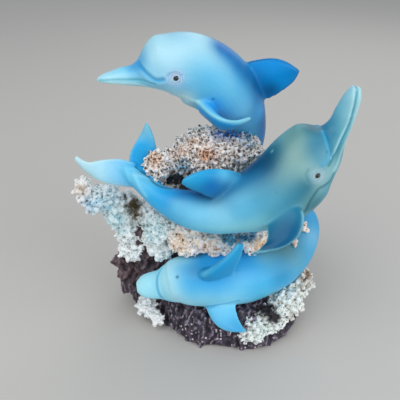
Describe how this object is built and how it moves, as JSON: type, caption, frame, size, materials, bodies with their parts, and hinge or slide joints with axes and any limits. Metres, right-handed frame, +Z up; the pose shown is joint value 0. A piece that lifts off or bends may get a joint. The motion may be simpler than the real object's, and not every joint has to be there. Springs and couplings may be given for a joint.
{
  "type": "dolphin figurine",
  "caption": "Painted cast figurine of entwined dolphins leaping round a coral-topped rock, with a flat underside to stand on.",
  "frame": {"origin": "on the flat underside, under the middle of the rock foot", "axes": "+Z up, -Y towards the viewer of the front, +X to the viewer's right"},
  "size_m": [0.1623, 0.1254, 0.1933],
  "materials": {
    "painted_resin": "airbrushed blue paint under a satin gloss lacquer on cast resin",
    "coral_paint": "dry-brushed cream and aqua paint on cast resin",
    "rock_paint": "dark purple-black paint with pearly flecks on cast resin"
  },
  "bodies": {
    "root": {"figurine": "painted_resin"}
  },
  "joints": []
}
